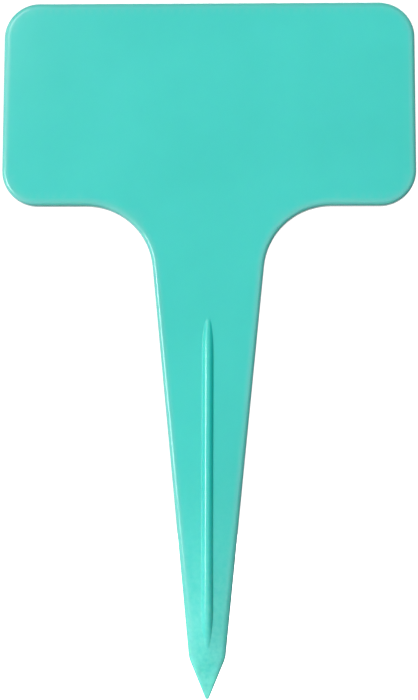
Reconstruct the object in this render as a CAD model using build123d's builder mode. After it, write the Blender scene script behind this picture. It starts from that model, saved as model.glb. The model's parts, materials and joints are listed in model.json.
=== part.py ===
from build123d import *

import os
from math import cos, radians, sin, tan

# T-shaped plant label stake, moulded in one piece: a rounded label plate on a tapered, ribbed stem that
# ends in a spear point. It stands upright as it does in a pot. X runs across the plate, the flat back
# lies on Y = 0, the ribbed front faces -Y, and Z = 0 is the soil line. Lengths are in millimetres, angles
# in degrees.

# Overall sizes.
overall_length = 100.0  # spear tip to the plate's top edge
insertion_depth = 50.0  # spear tip to the soil line
wall = 1.3  # thickness of the plate and of the stem's edges

# Label plate.
plate_width = 60.0
plate_height = 30.2
plate_corner_radius = 5.2

# Stem, whose straight sides run from the plate's underside to the spear's shoulders.
stem_root_width = 17.8
neck_radius = 9.8
shoulder_width = 5.1

# Spear point, from the shoulders down to the blunt tip.
spear_length = 5.6
tip_width = 0.8
tip_thickness = 0.9
tip_edge_radius = 0.3
tip_bevel_length = 0.35
tip_end_scale = 0.45

# Rounded front edges, which leave a square land along the back where the mould parts.
parting_land = 0.6
edge_radius = wall - parting_land

# Crowned front of the stem: a low roof that grows from the rib's upper end towards the spear.
crown_height = 0.59  # ridge above the flat front, at the roof's highest point
crown_peak_height = 9.0  # spear tip to the roof's highest point
crown_foot_height = 2.0  # spear tip to the roof's lower end
crown_edge_land = 0.1  # flat strip between the rounded edge and the roof's eaves

# Stiffening rib along the middle of the stem.
rib_top_height = 54.5  # spear tip to the rib's upper end
rib_foot_height = 4.4  # spear tip to the rib's lower end
rib_run_in = 5.5  # length over which the upper end rises out of the stem
rib_run_out = 6.4  # length over which the lower end sinks into the stem
rib_rise_top = 0.52  # crest above the flat front, at the upper end of the full rib
rib_rise_foot = 0.92  # crest above the flat front, at the lower end of the full rib
rib_crest_radius = 0.95
rib_flank_angle = 15.0  # lean of the flanks that carry the crest down into the wall

# Depth at which the crown and the rib start and end under the front, so that they rise out of it.
sunk_start = 0.1

# Heights on the Z axis.
tip_z = -insertion_depth
top_z = tip_z + overall_length
underside_z = top_z - plate_height
shoulder_z = tip_z + spear_length
rib_top_z = tip_z + rib_top_height
rib_foot_z = tip_z + rib_foot_height
crown_peak_z = tip_z + crown_peak_height
crown_foot_z = tip_z + crown_foot_height

# Depth from the back at which the crown and the rib are rooted in the wall.
root_depth = wall / 8


def stem_half_width(z):
    """Half the stem's width at a height, along its straight sides."""
    share = (underside_z - z) / (underside_z - shoulder_z)
    return (stem_root_width + share * (shoulder_width - stem_root_width)) / 2


def crown_section(z, eave_rise, ridge_rise):
    """Roof-shaped section of the crown at a height, its eaves and ridge measured from the flat front."""
    eave = stem_half_width(z) - edge_radius - crown_edge_land
    with BuildSketch(Plane.XY.offset(z)) as section:
        with BuildLine():
            Polyline(
                (-eave, -root_depth),
                (-eave, -wall - eave_rise),
                (0, -wall - ridge_rise),
                (eave, -wall - eave_rise),
                (eave, -root_depth),
                close=True,
            )
        make_face()
    return section.sketch.face()


def rib_section(z, rise):
    """Section of the rib at a height: a round crest, measured from the flat front, on leaning flanks."""
    lean = radians(rib_flank_angle)
    crest = wall + rise
    flank_top = crest - rib_crest_radius * (1 - sin(lean))
    flank_top_half = rib_crest_radius * cos(lean)
    root_half = flank_top_half + (flank_top - root_depth) * tan(lean)
    with BuildSketch(Plane.XY.offset(z)) as section:
        with BuildLine():
            flanks = Polyline(
                (-flank_top_half, -flank_top),
                (-root_half, -root_depth),
                (root_half, -root_depth),
                (flank_top_half, -flank_top),
            )
            ThreePointArc(flanks @ 1, (0, -crest), flanks @ 0)
        make_face()
    return section.sketch.face()


def tip_section(z, shrink):
    """Section of the spear's tip at a height: flat at the back, rounded at its front corners."""
    width = tip_width * shrink
    depth = tip_thickness * shrink
    with BuildSketch(Plane.XY.offset(z)) as section:
        with Locations((0, -depth / 2)):
            Rectangle(width, depth)
        fillet(section.vertices().group_by(Axis.Y)[0], tip_edge_radius * shrink)
    return section.sketch.face()


# The whole label is one moulding.
with BuildPart() as label_stake:
    # Plate, neck and stem down to the shoulders.
    with BuildSketch(Plane.XZ) as outline:
        with Locations((0, (top_z + underside_z) / 2)):
            RectangleRounded(plate_width, plate_height, plate_corner_radius)
        with BuildLine():
            Polyline(
                (-stem_root_width / 2, underside_z),
                (stem_root_width / 2, underside_z),
                (shoulder_width / 2, shoulder_z),
                (-shoulder_width / 2, shoulder_z),
                close=True,
            )
        make_face()
        underside = outline.vertices().group_by(Axis.Y)[1]
        fillet(underside.sort_by(Axis.X)[1:-1], neck_radius)
    extrude(amount=wall)
    front = label_stake.faces().sort_by(Axis.Y)[0]
    fillet(front.edges().sort_by(Axis.Z)[1:], edge_radius)

    # Spear point, drawn out of the stem's own end face.
    stem_end = label_stake.faces().sort_by(Axis.Z)[0]
    loft([stem_end, tip_section(tip_z + tip_bevel_length, 1), tip_section(tip_z, tip_end_scale)], ruled=True)

    # Crown of the stem, which dies out in the spear.
    crown_peak = crown_section(crown_peak_z, 0, crown_height)
    loft([crown_section(rib_top_z, -sunk_start, 0), crown_peak], ruled=True)
    loft([crown_peak, Vertex(0, -tip_thickness, crown_foot_z)], ruled=True)

    # Rib, which rises out of the front and sinks back into it.
    loft(
        [
            rib_section(rib_top_z, -sunk_start),
            rib_section(rib_top_z - rib_run_in, rib_rise_top),
            rib_section(rib_foot_z + rib_run_out, rib_rise_foot),
            rib_section(rib_foot_z, -sunk_start),
        ],
        ruled=True,
    )
label_stake.part.label = "label_stake"

os.makedirs("parts", exist_ok=True)
export_step(label_stake.part, "parts/label_stake.step")
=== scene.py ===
"""Looks of the plant label stake: one satin turquoise moulding, on a pale floor in soft studio light."""

import json
from math import asin, atan2, ceil, cos, hypot, pi, radians, sin, sqrt, tan

import bmesh
import bpy
from mathutils import Euler, Matrix, Vector
from mathutils.geometry import delaunay_2d_cdt
from mathutils.kdtree import KDTree


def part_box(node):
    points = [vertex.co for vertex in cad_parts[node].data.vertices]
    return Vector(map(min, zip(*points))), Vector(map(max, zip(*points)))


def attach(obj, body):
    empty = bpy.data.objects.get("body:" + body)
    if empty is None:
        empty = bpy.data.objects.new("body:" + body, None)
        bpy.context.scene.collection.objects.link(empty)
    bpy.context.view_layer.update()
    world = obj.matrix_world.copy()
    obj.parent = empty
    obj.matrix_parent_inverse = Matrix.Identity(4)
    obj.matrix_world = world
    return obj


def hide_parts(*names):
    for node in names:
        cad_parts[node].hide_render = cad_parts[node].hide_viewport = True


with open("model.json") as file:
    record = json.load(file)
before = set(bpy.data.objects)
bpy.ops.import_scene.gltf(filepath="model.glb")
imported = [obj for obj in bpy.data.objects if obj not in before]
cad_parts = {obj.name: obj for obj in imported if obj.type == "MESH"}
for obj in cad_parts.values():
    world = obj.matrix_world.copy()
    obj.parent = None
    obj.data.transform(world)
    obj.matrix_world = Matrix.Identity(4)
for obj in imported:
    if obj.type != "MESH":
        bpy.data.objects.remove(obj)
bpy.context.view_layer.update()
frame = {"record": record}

MM = 0.001

# Reach of the moulding, from the frame. The front faces -Y and the flat back lies on Y = 0.
node_low, node_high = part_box("label_stake")
HALF_WIDTH = node_high.x
TOP_Z = node_high.z
TIP_Z = node_low.z
label_face = next(m for m in frame["record"]["mounts"] if m["name"] == "label_face")
WALL = -label_face["pos_m"][1]

# Outline.
PLATE_HEIGHT = 30.2 * MM
PLATE_CORNER_RADIUS = 5.2 * MM
STEM_ROOT_HALF = 8.9 * MM
NECK_RADIUS = 9.8 * MM
SHOULDER_HALF = 2.55 * MM
SHOULDER_RADIUS = 4.0 * MM
SPEAR_LENGTH = 5.6 * MM
TIP_RADIUS = 0.3 * MM
TIP_THICKNESS = 0.9 * MM
UNDERSIDE_Z = TOP_Z - PLATE_HEIGHT
SHOULDER_Z = TIP_Z + SPEAR_LENGTH

# Rounded front edges, wider than deep, which shrink along the spear, and the small break of the back edge.
EDGE_WIDTH = 0.95 * MM
EDGE_DEPTH = 0.48 * MM
EDGE_POWER = 0.65  # below 1, the rounding is fuller than an ellipse
TIP_EDGE_SHARE = 0.22  # size of the rounding at the tip, as a share of the full one
BACK_BREAK = 0.06 * MM

# Crowned stem front.
CROWN_TOP_Z = TIP_Z + 53.6 * MM
CROWN_PEAK_Z = TIP_Z + 9.0 * MM
CROWN_FOOT_Z = TIP_Z + 4.0 * MM
CROWN_RISE = 0.59 * MM
CROWN_PEAK_BLEND = 0.3  # rounding of the peak, as a share of the rise
CROWN_EDGE_LAND = 0.3 * MM

# Rib on the stem.
RIB_TOP_Z = TIP_Z + 54.25 * MM
RIB_FOOT_Z = TIP_Z + 3.95 * MM
RIB_RUN_IN = 4.2 * MM
RIB_RUN_OUT = 6.6 * MM
RIB_RISE_TOP = 0.45 * MM
RIB_RISE_FOOT = 0.86 * MM
RIB_START = -0.1 * MM
RIB_CREST_RADIUS = 0.95 * MM
RIB_ROOT_RADIUS = 0.2 * MM
RIB_KNEE_BLEND = 0.3 * MM

# Mesh spacing.
OUTLINE_STEP = 0.8 * MM
ARC_STEP = radians(5)
EDGE_STEPS = 10
PLATE_STEP = 1.2 * MM
STEM_STEP = 0.5 * MM
RIB_ROW_STEP = 0.4 * MM
RIB_CREST_STEPS = 9
RIB_ROOT_STEPS = 5
RIB_OUTER_GAP = RIB_ROOT_RADIUS / 4  # from the end of a root to the last line of points beside it
RIB_LEAST_HALF = 0.1 * MM
STEM_CLEARANCE = STEM_STEP / 2
MERGE_DISTANCE = 1e-7
INSIDE_BORDER = 1  # keeps only the triangles inside the border
SHARP_ANGLE = radians(35)

# Plastic: turquoise polypropylene, coloured through.
PLASTIC_IOR = 1.55
SCATTER_WEIGHT = 0.5
SCATTER_RADIUS = (0.2, 1, 0.6)
SCATTER_SCALE = 0.4 * MM
DEEP_TURQUOISE = (0.013, 0.604, 0.532)
LIGHT_TURQUOISE = (0.021, 0.640, 0.567)
ROUGHNESS = (0.18, 0.22)
CLOUD_SIZE = 18 * MM
CLOUD_DETAIL = 5
GRAIN_SIZE = 0.25 * MM
GRAIN_DETAIL = 2
GRAIN_STRENGTH = 0.1
GRAIN_DEPTH = 0.02 * MM
NOISE_SPAN = (0.3, 0.7)  # where most of a noise's values lie

# Painted sheen: front edges tinted paler for the gloss along them. The lower stem and spear pale towards the
# tip, in specks.
EDGE_ATTRIBUTE = "edge"
PAINTED_SHEEN_WIDTH = 1.35 * MM
PAINTED_SHEEN_SHARE = 0.75
PAINTED_SHEEN_COLOUR = (0.19, 0.59, 0.54)
PALING_LENGTH = 48 * MM
PALING_POWER = 3
PALING_COLOUR = (0.165, 0.8, 0.7)
SPECK_SIZE = 0.7 * MM
SPECK_DETAIL = 3
SPECK_SPAN = (0.7, 1.3)

# Studio.
SURROUND_LIGHT = 0.05
SURROUND_BACKDROP = 1.1
FLOOR_HALF = 1.0
FLOOR_COLOUR = (0.9, 0.9, 0.9, 1)
FLOOR_ROUGHNESS = 0.9
FLOOR_GLOW = 0.95
WHITE = (1, 1, 1, 1)
LIGHT_AIM = Vector((0, 0, 0))

# Camera at the photograph's viewing angle. Its sensor and lens are in millimetres, as Blender takes them.
CAMERA_AIM = Vector((0.114 * MM, 0, TIP_Z + 48.9 * MM))
CAMERA_DISTANCE = 0.2
CAMERA_PITCH = radians(6.2)
CAMERA_YAW = radians(-1.28)
CAMERA_ROLL = radians(0.16)
CAMERA_SENSOR = 36
CAMERA_LENS = 71.7
CAMERA_CLIP_START = 0.01


def mix(a, b, share):
    """The value at a share of the way from a to b."""
    return a + (b - a) * share


def smooth_max(a, b, blend):
    """The larger of two heights, rounded off where they meet."""
    overlap = max(blend - abs(a - b), 0)
    return max(a, b) + overlap * overlap / (4 * blend)


def smooth_min(a, b, blend):
    """The smaller of two heights, rounded off where they meet."""
    return -smooth_max(-a, -b, blend)


def rounded_corner(before, corner, after, radius):
    """Points and inward normals of the arc that rounds one corner of a clockwise outline."""
    come = (corner - before).normalized()
    leave = (after - corner).normalized()
    turn = come.angle_signed(leave)
    reach = radius * tan(abs(turn) / 2)
    start = corner - come * reach
    inward = Vector((come.y, -come.x))
    bend = 1 if turn > 0 else -1
    centre = start + inward * radius * bend
    steps = max(2, ceil(abs(turn) / ARC_STEP))
    samples = []
    for i in range(steps + 1):
        swing = Matrix.Rotation(-turn * i / steps, 2)
        samples.append((centre + swing @ (start - centre), swing @ inward))
    return samples


def straight_run(start, end):
    """Points and inward normals between two arcs, their ends left out."""
    (a, inward), (b, _) = start, end
    steps = max(1, ceil((b - a).length / OUTLINE_STEP))
    return [(a.lerp(b, i / steps), inward) for i in range(1, steps)]


def outline_samples():
    """The T's outline, clockwise from the top right corner, as points with inward normals."""
    rise = SPEAR_LENGTH - TIP_RADIUS
    half_angle = atan2(SHOULDER_HALF, rise) - asin(TIP_RADIUS / hypot(SHOULDER_HALF, rise))
    apex_z = TIP_Z + TIP_RADIUS - TIP_RADIUS / sin(half_angle)
    right = [
        (Vector((HALF_WIDTH, TOP_Z)), PLATE_CORNER_RADIUS),
        (Vector((HALF_WIDTH, UNDERSIDE_Z)), PLATE_CORNER_RADIUS),
        (Vector((STEM_ROOT_HALF, UNDERSIDE_Z)), NECK_RADIUS),
        (Vector((SHOULDER_HALF, SHOULDER_Z)), SHOULDER_RADIUS),
    ]
    left = [(Vector((-p.x, p.y)), radius) for p, radius in reversed(right)]
    corners = right + [(Vector((0, apex_z)), TIP_RADIUS)] + left
    count = len(corners)
    arcs = [
        rounded_corner(corners[i - 1][0], corners[i][0], corners[(i + 1) % count][0], corners[i][1])
        for i in range(count)
    ]
    samples = []
    for i, arc in enumerate(arcs):
        samples += arc + straight_run(arc[-1], arcs[(i + 1) % count][0])
    return samples


def spear_share(z):
    """How far down the spear a height lies: 0 at the shoulders and above, 1 at the tip."""
    return min(max((SHOULDER_Z - z) / SPEAR_LENGTH, 0), 1)


def flat_depth(z):
    """Depth of the flat front, which eases towards the back along the spear."""
    share = spear_share(z)
    return mix(WALL, TIP_THICKNESS, share * share * (3 - 2 * share))


def stem_half_width(z):
    """Half the width between the stem's straight sides."""
    return mix(STEM_ROOT_HALF, SHOULDER_HALF, (UNDERSIDE_Z - z) / (UNDERSIDE_Z - SHOULDER_Z))


def crown_ridge(z):
    """Height of the crown's ridge above the flat front."""
    grow = (CROWN_TOP_Z - z) / (CROWN_TOP_Z - CROWN_PEAK_Z)
    fade = (z - CROWN_FOOT_Z) / (CROWN_PEAK_Z - CROWN_FOOT_Z)
    return CROWN_RISE * max(smooth_min(grow, fade, CROWN_PEAK_BLEND), 0)


def rib_crest(z):
    """Height of the rib's crest above the flat front. It is negative where the rib has sunk into the stem."""
    up = mix(RIB_START, RIB_RISE_TOP, (RIB_TOP_Z - z) / RIB_RUN_IN)
    down = mix(RIB_START, RIB_RISE_FOOT, (z - RIB_FOOT_Z) / RIB_RUN_OUT)
    full_top = RIB_TOP_Z - RIB_RUN_IN
    full_foot = RIB_FOOT_Z + RIB_RUN_OUT
    along = mix(RIB_RISE_TOP, RIB_RISE_FOOT, (full_top - z) / (full_top - full_foot))
    return smooth_min(smooth_min(up, down, RIB_KNEE_BLEND), along, RIB_KNEE_BLEND)


def blade_slope(z):
    """Fall of the crowned blade from its ridge towards the sides."""
    return crown_ridge(z) / (stem_half_width(z) - CROWN_EDGE_LAND)


def rib_arcs(z):
    """Depth of the crest's centre, then place and depth of the root's centre; None where the rib has sunk."""
    slope = blade_slope(z)
    stretch = hypot(1, slope)
    reach = RIB_CREST_RADIUS + RIB_ROOT_RADIUS
    crest_depth = WALL + rib_crest(z) - RIB_CREST_RADIUS
    climb = flat_depth(z) + crown_ridge(z) + RIB_ROOT_RADIUS * stretch - crest_depth
    if climb >= reach * stretch:
        return None
    root_x = (slope * climb + sqrt((stretch * reach) ** 2 - climb * climb)) / stretch**2
    return crest_depth, root_x, crest_depth + climb - slope * root_x


def rib_halves(z):
    """Half widths of the rib at a height: of its crest, and out to where its roots run into the blade."""
    arcs = rib_arcs(z)
    if arcs is None:
        return 0, 0
    root_x = arcs[1]
    slope = blade_slope(z)
    crest_half = root_x * RIB_CREST_RADIUS / (RIB_CREST_RADIUS + RIB_ROOT_RADIUS)
    return crest_half, root_x - RIB_ROOT_RADIUS * slope / hypot(1, slope)


def front_depth(x, z):
    """Depth of the front surface from the flat back: sloping blade, hollow root and round crest."""
    aside = abs(x)
    crest_half, root_half = rib_halves(z)
    if aside >= root_half:
        return flat_depth(z) + max(crown_ridge(z) - blade_slope(z) * aside, 0)
    crest_depth, root_x, root_depth = rib_arcs(z)
    if aside <= crest_half:
        return crest_depth + sqrt(RIB_CREST_RADIUS**2 - aside * aside)
    return root_depth - sqrt(RIB_ROOT_RADIUS**2 - (aside - root_x) ** 2)


def rib_lines():
    """Points in lines along the rib, more of them on its roots, with the edges that join each line."""
    points, edges = [], []
    rows = ceil((RIB_TOP_Z - RIB_FOOT_Z) / RIB_ROW_STEP)
    last = None
    for j in range(rows + 1):
        z = mix(RIB_FOOT_Z, RIB_TOP_Z, j / rows)
        crest_half, root_half = rib_halves(z)
        if root_half < RIB_LEAST_HALF:
            continue
        side = [crest_half * sin(pi / 2 * i / RIB_CREST_STEPS) for i in range(1, RIB_CREST_STEPS + 1)]
        side += [mix(crest_half, root_half, i / RIB_ROOT_STEPS) for i in range(1, RIB_ROOT_STEPS + 1)]
        side.append(root_half + RIB_OUTER_GAP)
        across = [-x for x in reversed(side)] + [0] + side
        first = len(points)
        points += [Vector((x, z)) for x in across]
        if last is not None:
            edges += [(last + i, first + i) for i in range(len(across))]
        last = first
    return points, edges


def beside_rib(point):
    """Whether a point of the stem lies clear of the rib."""
    root_half = rib_halves(point.y)[1]
    return root_half == 0 or abs(point.x) >= root_half + STEM_CLEARANCE


def grid(x_half, low, high, step):
    """Points of a lattice that is symmetric about X = 0."""
    columns = ceil(x_half / step)
    rows = ceil((high - low) / step)
    return [
        Vector((x_half * i / columns, mix(low, high, j / rows)))
        for j in range(rows + 1)
        for i in range(-columns, columns + 1)
    ]


def filled(bm, ring, points, lines, depth_at, flip):
    """Faces that close a ring of vertices, with inner points and lines on a surface of the given depth."""
    border = [Vector((v.co.x, v.co.z)) for v in ring]
    count = len(border)
    edges = [(i, (i + 1) % count) for i in range(count)]
    edges += [(a + count, b + count) for a, b in lines]
    mesh = delaunay_2d_cdt(border + points, edges, [], INSIDE_BORDER, MERGE_DISTANCE)
    places, _, triangles, came_from, _, _ = mesh
    verts = {}
    for triangle in triangles:
        for index in triangle:
            if index in verts:
                continue
            source = min(came_from[index])
            if source < count:
                verts[index] = ring[source]
            else:
                place = places[index]
                verts[index] = bm.verts.new((place.x, -depth_at(place.x, place.y), place.y))
        corners = [verts[index] for index in triangle]
        bm.faces.new(reversed(corners) if flip else corners)


def mark_edges(mesh, samples):
    """Stores how near each point lies to the outline, for the painted edge sheen: 1 on it, 0 past the sheen
    width and on the back.
    """
    tree = KDTree(len(samples))
    for i, (point, _) in enumerate(samples):
        tree.insert((point.x, 0, point.y), i)
    tree.balance()
    attribute = mesh.attributes.new(EDGE_ATTRIBUTE, "FLOAT", "POINT")
    for vertex, value in zip(mesh.vertices, attribute.data):
        _, i, _ = tree.find((vertex.co.x, 0, vertex.co.z))
        point, inward = samples[i]
        inset = (Vector((vertex.co.x, vertex.co.z)) - point).dot(inward)
        on_back = vertex.co.y > -BACK_BREAK / 2
        value.value = 0 if on_back else min(max(1 - inset / PAINTED_SHEEN_WIDTH, 0), 1)


def moulding_mesh():
    """The whole label: flat back, square land, rounded edge, and the crowned and ribbed front."""
    bm = bmesh.new()
    samples = outline_samples()

    def ring(inset, depth_at):
        verts = []
        for point, inward in samples:
            scale = mix(1, TIP_EDGE_SHARE, spear_share(point.y))
            p = point + inward * inset(scale)
            verts.append(bm.verts.new((p.x, -depth_at(scale, p), p.y)))
        return verts

    rings = [
        ring(lambda scale: BACK_BREAK, lambda scale, p: 0),
        ring(lambda scale: 0, lambda scale, p: BACK_BREAK),
    ]
    for step in range(EDGE_STEPS + 1):
        angle = pi / 2 * step / EDGE_STEPS
        rings.append(
            ring(
                lambda scale: scale * EDGE_WIDTH * (1 - cos(angle) ** EDGE_POWER),
                lambda scale, p: front_depth(p.x, p.y) - scale * EDGE_DEPTH * (1 - sin(angle)),
            )
        )
    for lower, upper in zip(rings, rings[1:]):
        for i in range(len(lower)):
            bm.faces.new((lower[i - 1], lower[i], upper[i], upper[i - 1]))

    plate = grid(HALF_WIDTH, UNDERSIDE_Z, TOP_Z, PLATE_STEP)
    stem = [p for p in grid(STEM_ROOT_HALF, TIP_Z, UNDERSIDE_Z, STEM_STEP) if beside_rib(p)]
    rib, lines = rib_lines()
    filled(bm, rings[-1], rib + plate + stem, lines, front_depth, flip=False)
    filled(bm, rings[0], [], [], lambda x, z: 0, flip=True)
    bmesh.ops.recalc_face_normals(bm, faces=bm.faces)
    mesh = bpy.data.meshes.new("label_moulding")
    bm.to_mesh(mesh)
    bm.free()
    mesh.shade_smooth()
    mesh.set_sharp_from_angle(angle=SHARP_ANGLE)
    mark_edges(mesh, samples)
    return mesh


def noise(tree, coordinates, size, detail):
    """Cloudy noise whose features are about the given size across."""
    node = tree.nodes.new("ShaderNodeTexNoise")
    node.inputs["Scale"].default_value = 1 / size
    node.inputs["Detail"].default_value = detail
    tree.links.new(coordinates, node.inputs["Vector"])
    return node.outputs["Fac"]


def map_range(tree, value, from_span, to_span, smooth=False):
    """A value moved from one range to another."""
    node = tree.nodes.new("ShaderNodeMapRange")
    node.interpolation_type = "SMOOTHSTEP" if smooth else "LINEAR"
    node.inputs["From Min"].default_value = from_span[0]
    node.inputs["From Max"].default_value = from_span[1]
    node.inputs["To Min"].default_value = to_span[0]
    node.inputs["To Max"].default_value = to_span[1]
    tree.links.new(value, node.inputs["Value"])
    return node.outputs["Result"]


def combined(tree, operation, first, second):
    """The result of a calculation with two values; the second may be a plain number."""
    node = tree.nodes.new("ShaderNodeMath")
    node.operation = operation
    tree.links.new(first, node.inputs[0])
    if isinstance(second, bpy.types.NodeSocket):
        tree.links.new(second, node.inputs[1])
    else:
        node.inputs[1].default_value = second
    return node.outputs["Value"]


def mixed_colour(tree, share, first, second):
    """A blend of two colours; the first may come from another node."""
    node = tree.nodes.new("ShaderNodeMix")
    node.data_type = "RGBA"
    if isinstance(first, bpy.types.NodeSocket):
        tree.links.new(first, node.inputs["A"])
    else:
        node.inputs["A"].default_value = (*first, 1)
    node.inputs["B"].default_value = (*second, 1)
    tree.links.new(share, node.inputs["Factor"])
    return node.outputs["Result"]


def moulding_material():
    """Satin polypropylene, slightly translucent: faint flow clouds, a painted sheen on the front edges and a
    lower stem that pales towards the tip.
    """
    material = bpy.data.materials.new("turquoise_polypropylene")
    material.use_nodes = True
    tree = material.node_tree
    nodes, links = tree.nodes, tree.links
    shader = nodes["Principled BSDF"]
    shader.inputs["IOR"].default_value = PLASTIC_IOR
    shader.inputs["Subsurface Weight"].default_value = SCATTER_WEIGHT
    shader.inputs["Subsurface Radius"].default_value = SCATTER_RADIUS
    shader.inputs["Subsurface Scale"].default_value = SCATTER_SCALE

    place = nodes.new("ShaderNodeTexCoord").outputs["Object"]
    axes = nodes.new("ShaderNodeSeparateXYZ")
    links.new(place, axes.inputs["Vector"])
    clouds = noise(tree, place, CLOUD_SIZE, CLOUD_DETAIL)
    specks = noise(tree, place, SPECK_SIZE, SPECK_DETAIL)
    grain = noise(tree, place, GRAIN_SIZE, GRAIN_DETAIL)

    # Colour: two close turquoises in soft clouds, tinted paler along the front edges as painted sheen, and
    # paler towards the spear.
    cloudy = map_range(tree, clouds, NOISE_SPAN, (0, 1))
    colour = mixed_colour(tree, cloudy, DEEP_TURQUOISE, LIGHT_TURQUOISE)
    # Painted sheen: the front edges are mixed towards a paler turquoise, fading inwards over the sheen width.
    edge = nodes.new("ShaderNodeAttribute")
    edge.attribute_name = EDGE_ATTRIBUTE
    painted_sheen = map_range(tree, edge.outputs["Fac"], (0, 1), (0, PAINTED_SHEEN_SHARE), smooth=True)
    colour = mixed_colour(tree, painted_sheen, colour, PAINTED_SHEEN_COLOUR)
    # Paler towards the tip, mottled by specks.
    down = map_range(tree, axes.outputs["Z"], (TIP_Z + PALING_LENGTH, TIP_Z), (0, 1))
    mottle = map_range(tree, specks, NOISE_SPAN, SPECK_SPAN)
    paling = combined(tree, "MULTIPLY", combined(tree, "POWER", down, PALING_POWER), mottle)
    colour = mixed_colour(tree, paling, colour, PALING_COLOUR)
    links.new(colour, shader.inputs["Base Color"])

    # Gloss, slightly broken by the clouds.
    links.new(map_range(tree, clouds, NOISE_SPAN, ROUGHNESS), shader.inputs["Roughness"])

    # Fine moulded grain.
    bump = nodes.new("ShaderNodeBump")
    bump.inputs["Strength"].default_value = GRAIN_STRENGTH
    bump.inputs["Distance"].default_value = GRAIN_DEPTH
    links.new(grain, bump.inputs["Height"])
    links.new(bump.outputs["Normal"], shader.inputs["Normal"])
    return material


def surround():
    """White backdrop that adds only a little light of its own."""
    world = bpy.data.worlds.new("surround")
    world.use_nodes = True
    tree = world.node_tree
    backdrop = tree.nodes["Background"]
    backdrop.inputs["Color"].default_value = WHITE
    path = tree.nodes.new("ShaderNodeLightPath")
    strength = map_range(tree, path.outputs["Is Camera Ray"], (0, 1), (SURROUND_LIGHT, SURROUND_BACKDROP))
    tree.links.new(strength, backdrop.inputs["Strength"])
    bpy.context.scene.world = world


def pale_floor():
    """Floor at the spear's tip, which neither shades the label nor shows in its gloss."""
    corners = [(-1, -1), (1, -1), (1, 1), (-1, 1)]
    mesh = bpy.data.meshes.new("floor")
    mesh.from_pydata([(FLOOR_HALF * x, FLOOR_HALF * y, TIP_Z) for x, y in corners], [], [(0, 1, 2, 3)])
    floor = bpy.data.objects.new("floor", mesh)
    bpy.context.scene.collection.objects.link(floor)
    material = bpy.data.materials.new("pale_floor")
    material.use_nodes = True
    shader = material.node_tree.nodes["Principled BSDF"]
    shader.inputs["Base Color"].default_value = FLOOR_COLOUR
    shader.inputs["Roughness"].default_value = FLOOR_ROUGHNESS
    shader.inputs["Emission Color"].default_value = WHITE
    shader.inputs["Emission Strength"].default_value = FLOOR_GLOW
    mesh.materials.append(material)
    floor.visible_diffuse = False
    floor.visible_glossy = False
    floor.visible_shadow = False


def area_light(name, place, width, height, watts):
    """A rectangular soft box that looks at the middle of the label."""
    data = bpy.data.lights.new(name, "AREA")
    data.shape = "RECTANGLE"
    data.size = width
    data.size_y = height
    data.energy = watts
    lamp = bpy.data.objects.new(name, data)
    lamp.location = place
    lamp.rotation_mode = "QUATERNION"
    lamp.rotation_quaternion = (LIGHT_AIM - Vector(place)).to_track_quat("-Z", "Y")
    bpy.context.scene.collection.objects.link(lamp)


def studio():
    """Backdrop, floor and soft boxes: the main light from the left, fills in front and behind."""
    bpy.context.scene.view_settings.view_transform = "Standard"
    surround()
    pale_floor()
    area_light("key_left", place=(-1.16, -0.31, -0.05), width=2.4, height=2.4, watts=18)
    area_light("low_left", place=(-0.59, -0.7, -0.77), width=0.6, height=0.6, watts=1.8)
    area_light("strip_left", place=(-0.69, -0.985, 0.09), width=0.12, height=0.36, watts=4.4)
    area_light("front_fill", place=(-0.02, -0.8, 0.065), width=1.02, height=0.84, watts=3.2)
    area_light("sheen_left", place=(-0.4, -1.0, 0.55), width=0.3, height=0.3, watts=2.0)
    area_light("back_fill", place=(0, 0.8, 0.08), width=1.1, height=0.9, watts=3.6)
    area_light("back_high", place=(0.2, 0.7, 0.8), width=0.8, height=0.8, watts=9)
    area_light("side_right", place=(0.95, 0.45, 0.1), width=0.5, height=0.5, watts=1.5)


def camera():
    """The photograph's view: close up, a little below the middle and to the right of it."""
    axis = Vector(
        (
            sin(CAMERA_YAW),
            cos(CAMERA_PITCH) * cos(CAMERA_YAW),
            sin(CAMERA_PITCH) * cos(CAMERA_YAW),
        )
    )
    data = bpy.data.cameras.new("camera")
    data.sensor_width = CAMERA_SENSOR
    data.lens = CAMERA_LENS
    data.clip_start = CAMERA_CLIP_START
    view = bpy.data.objects.new("camera", data)
    view.location = CAMERA_AIM - axis * CAMERA_DISTANCE
    view.rotation_mode = "QUATERNION"
    view.rotation_quaternion = axis.to_track_quat("-Z", "Y") @ Euler((0, 0, CAMERA_ROLL)).to_quaternion()
    bpy.context.scene.collection.objects.link(view)
    bpy.context.scene.camera = view


label = bpy.data.objects.new("label_moulding", moulding_mesh())
label.data.materials.append(moulding_material())
bpy.context.scene.collection.objects.link(label)
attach(label, "root")
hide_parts("label_stake")
studio()
camera()
